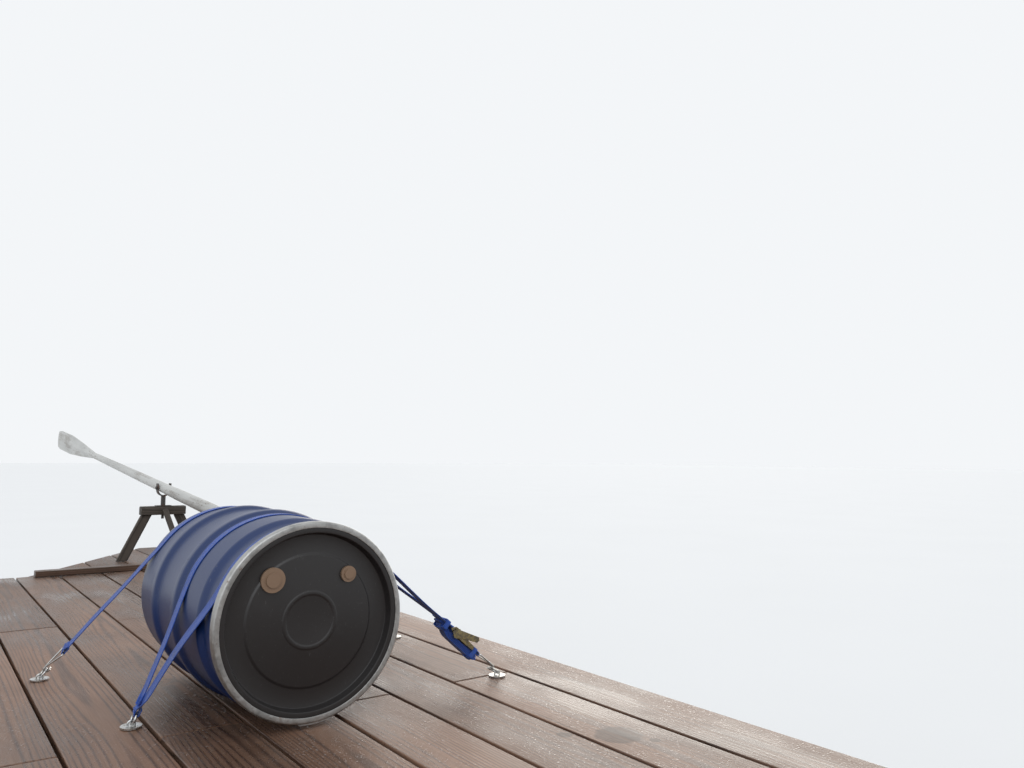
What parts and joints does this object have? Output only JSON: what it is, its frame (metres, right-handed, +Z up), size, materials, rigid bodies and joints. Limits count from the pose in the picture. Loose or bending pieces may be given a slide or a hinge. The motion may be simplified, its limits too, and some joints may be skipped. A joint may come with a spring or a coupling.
{
  "type": "homemade raft",
  "caption": "Homemade timber raft on plastic drum floats, with a lashed deck drum and a sweep oar in a swivelling rowlock on a trestle.",
  "frame": {"origin": "on the floor under the middle of the whole object's box, where the float drums rest", "axes": "+X along the deck boards towards the oar, +Y to port, +Z up"},
  "size_m": [10.9648, 2.93, 1.8271],
  "materials": {
    "deck_timber": "weathered brown boards, damp",
    "frame_timber": "rough sawn, greyed",
    "trestle_timber": "dark stained, rough",
    "oar_timber": "pale grey weathered paint",
    "drum_blue": "blue polyethylene, scuffed",
    "lid_black": "black polyethylene",
    "galvanised": "galvanised, dull",
    "zinc_steel": "zinc plated, yellowish",
    "webbing": "woven polyester, blue",
    "dark_iron": "dark painted iron"
  },
  "bodies": {
    "raft": {"deck_boards": "deck_timber", "stage_boards": "deck_timber", "seam_batten": "frame_timber", "deck_joists": "frame_timber", "stage_joists": "frame_timber", "stringers_port": "frame_timber", "stringers_starboard": "frame_timber", "float_drums_port": "drum_blue", "float_lids_port": "lid_black", "float_rings_port": "galvanised", "float_straps_port": "webbing", "float_drums_starboard": "drum_blue", "float_lids_starboard": "lid_black", "float_rings_starboard": "galvanised", "float_straps_starboard": "webbing", "deck_drum": "drum_blue", "deck_drum_lid": "lid_black", "deck_drum_ring": "galvanised", "deck_drum_lever": "galvanised", "deck_drum_bungs": "lid_black", "eye_plates": "zinc_steel", "eye_rings": "zinc_steel", "strap_hooks": "zinc_steel", "strap_front": "webbing", "strap_rear": "webbing", "strap_loops": "webbing", "buckle_frames": "zinc_steel", "buckle_spindles": "zinc_steel", "buckle_handles": "zinc_steel", "trestle_beam": "trestle_timber", "trestle_legs": "trestle_timber", "rowlock_socket": "dark_iron"},
    "rowlock": {"rowlock_yoke": "dark_iron"},
    "oar": {"oar_loom": "oar_timber", "oar_grip": "oar_timber", "oar_blade": "oar_timber", "pivot_bolt": "dark_iron"}
  },
  "joints": [
    {"name": "rowlock_swing", "type": "hinge", "parent": "raft", "child": "rowlock", "pos_m": [2.33262, -1, 1.3253], "axis": [0, 0, 1], "range_deg": [-50, 50]},
    {"name": "oar_dip", "type": "hinge", "parent": "rowlock", "child": "oar", "pos_m": [2.33262, -1, 1.3253], "axis": [0.0958, -0.9954, 0], "range_deg": [-28, 2]}
  ]
}
